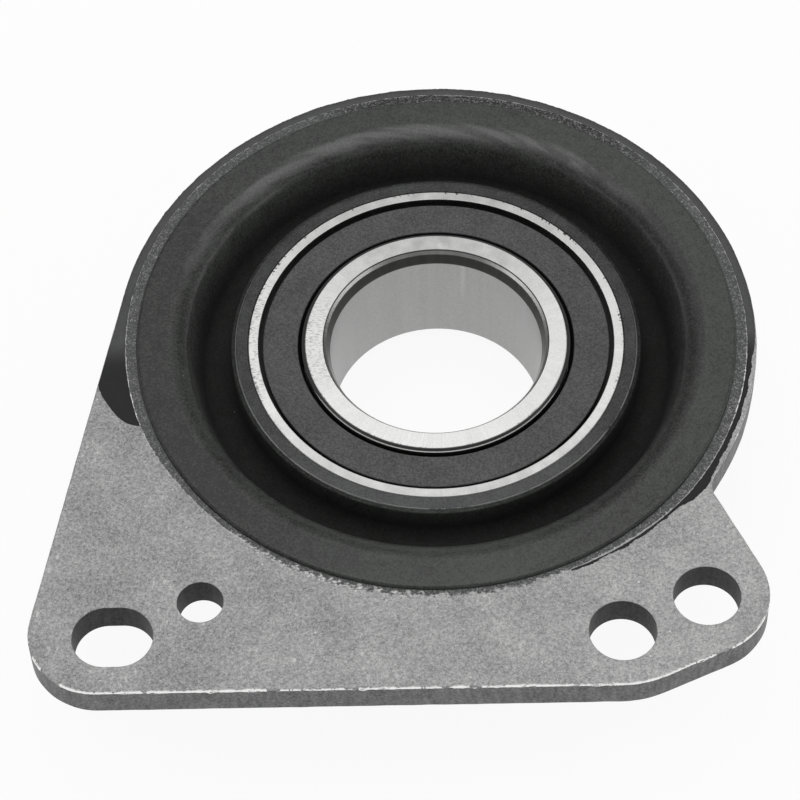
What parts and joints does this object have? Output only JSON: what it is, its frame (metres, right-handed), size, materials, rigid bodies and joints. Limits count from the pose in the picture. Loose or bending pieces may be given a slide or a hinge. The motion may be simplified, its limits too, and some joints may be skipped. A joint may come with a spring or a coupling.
{
  "type": "driveshaft centre bearing",
  "caption": "Driveshaft centre bearing: a sealed ball bearing in a grooved rubber isolator that is moulded into a flat steel plate with a bolt slot, bolt holes and a locating hole.",
  "frame": {"origin": "on the bore axis, in the plane of the plate's rear face", "axes": "+Z along the bore axis towards the open side of the isolator's groove, -Y towards the straight bottom edge of the plate's foot, X along that edge"},
  "size_m": [0.0998, 0.102, 0.022],
  "materials": {
    "plate_steel": "bare, shot-blasted",
    "isolator_rubber": "moulded, matt",
    "sleeve_coating": "dark coating, fine grain",
    "race_steel": "ground",
    "ball_steel": "polished",
    "cage_steel": "pressed sheet",
    "seal_rubber": "moulded, fine grain"
  },
  "bodies": {
    "bracket": {"mounting_plate": "plate_steel", "rubber_isolator": "isolator_rubber", "bearing_sleeve": "sleeve_coating", "outer_race": "race_steel", "seal_front": "seal_rubber", "seal_rear": "seal_rubber"},
    "inner_ring": {"inner_race": "race_steel"},
    "cage": {"cage_front": "cage_steel", "cage_rear": "cage_steel", "cage_rivets": "cage_steel"},
    "ball_01": {"ball_01": "ball_steel"},
    "ball_02": {"ball_02": "ball_steel"},
    "ball_03": {"ball_03": "ball_steel"},
    "ball_04": {"ball_04": "ball_steel"},
    "ball_05": {"ball_05": "ball_steel"},
    "ball_06": {"ball_06": "ball_steel"},
    "ball_07": {"ball_07": "ball_steel"},
    "ball_08": {"ball_08": "ball_steel"},
    "ball_09": {"ball_09": "ball_steel"},
    "ball_10": {"ball_10": "ball_steel"},
    "ball_11": {"ball_11": "ball_steel"}
  },
  "joints": [
    {"name": "inner_spin", "type": "hinge", "parent": "bracket", "child": "inner_ring", "pos_m": [0, 0, -0.0061], "axis": [0, 0, 1], "continuous": true},
    {"name": "cage_spin", "type": "hinge", "parent": "bracket", "child": "cage", "pos_m": [0, 0, -0.0061], "axis": [0, 0, 1], "continuous": true},
    {"name": "ball_01_roll", "type": "hinge", "parent": "cage", "child": "ball_01", "pos_m": [0.02125, 0, -0.0061], "axis": [0, 0, 1], "continuous": true},
    {"name": "ball_02_roll", "type": "hinge", "parent": "cage", "child": "ball_02", "pos_m": [0.01788, 0.01149, -0.0061], "axis": [0, 0, 1], "continuous": true},
    {"name": "ball_03_roll", "type": "hinge", "parent": "cage", "child": "ball_03", "pos_m": [0.00883, 0.01933, -0.0061], "axis": [0, 0, 1], "continuous": true},
    {"name": "ball_04_roll", "type": "hinge", "parent": "cage", "child": "ball_04", "pos_m": [-0.00302, 0.02103, -0.0061], "axis": [0, 0, 1], "continuous": true},
    {"name": "ball_05_roll", "type": "hinge", "parent": "cage", "child": "ball_05", "pos_m": [-0.01392, 0.01606, -0.0061], "axis": [0, 0, 1], "continuous": true},
    {"name": "ball_06_roll", "type": "hinge", "parent": "cage", "child": "ball_06", "pos_m": [-0.02039, 0.00599, -0.0061], "axis": [0, 0, 1], "continuous": true},
    {"name": "ball_07_roll", "type": "hinge", "parent": "cage", "child": "ball_07", "pos_m": [-0.02039, -0.00599, -0.0061], "axis": [0, 0, 1], "continuous": true},
    {"name": "ball_08_roll", "type": "hinge", "parent": "cage", "child": "ball_08", "pos_m": [-0.01392, -0.01606, -0.0061], "axis": [0, 0, 1], "continuous": true},
    {"name": "ball_09_roll", "type": "hinge", "parent": "cage", "child": "ball_09", "pos_m": [-0.00302, -0.02103, -0.0061], "axis": [0, 0, 1], "continuous": true},
    {"name": "ball_10_roll", "type": "hinge", "parent": "cage", "child": "ball_10", "pos_m": [0.00883, -0.01933, -0.0061], "axis": [0, 0, 1], "continuous": true},
    {"name": "ball_11_roll", "type": "hinge", "parent": "cage", "child": "ball_11", "pos_m": [0.01788, -0.01149, -0.0061], "axis": [0, 0, 1], "continuous": true}
  ],
  "couplings": [
    {"joint": "cage_spin", "follows": "inner_spin", "ratio": 0.41595},
    {"joint": "ball_01_roll", "follows": "inner_spin", "ratio": -2.8905},
    {"joint": "ball_02_roll", "follows": "inner_spin", "ratio": -2.8905},
    {"joint": "ball_03_roll", "follows": "inner_spin", "ratio": -2.8905},
    {"joint": "ball_04_roll", "follows": "inner_spin", "ratio": -2.8905},
    {"joint": "ball_05_roll", "follows": "inner_spin", "ratio": -2.8905},
    {"joint": "ball_06_roll", "follows": "inner_spin", "ratio": -2.8905},
    {"joint": "ball_07_roll", "follows": "inner_spin", "ratio": -2.8905},
    {"joint": "ball_08_roll", "follows": "inner_spin", "ratio": -2.8905},
    {"joint": "ball_09_roll", "follows": "inner_spin", "ratio": -2.8905},
    {"joint": "ball_10_roll", "follows": "inner_spin", "ratio": -2.8905},
    {"joint": "ball_11_roll", "follows": "inner_spin", "ratio": -2.8905}
  ]
}
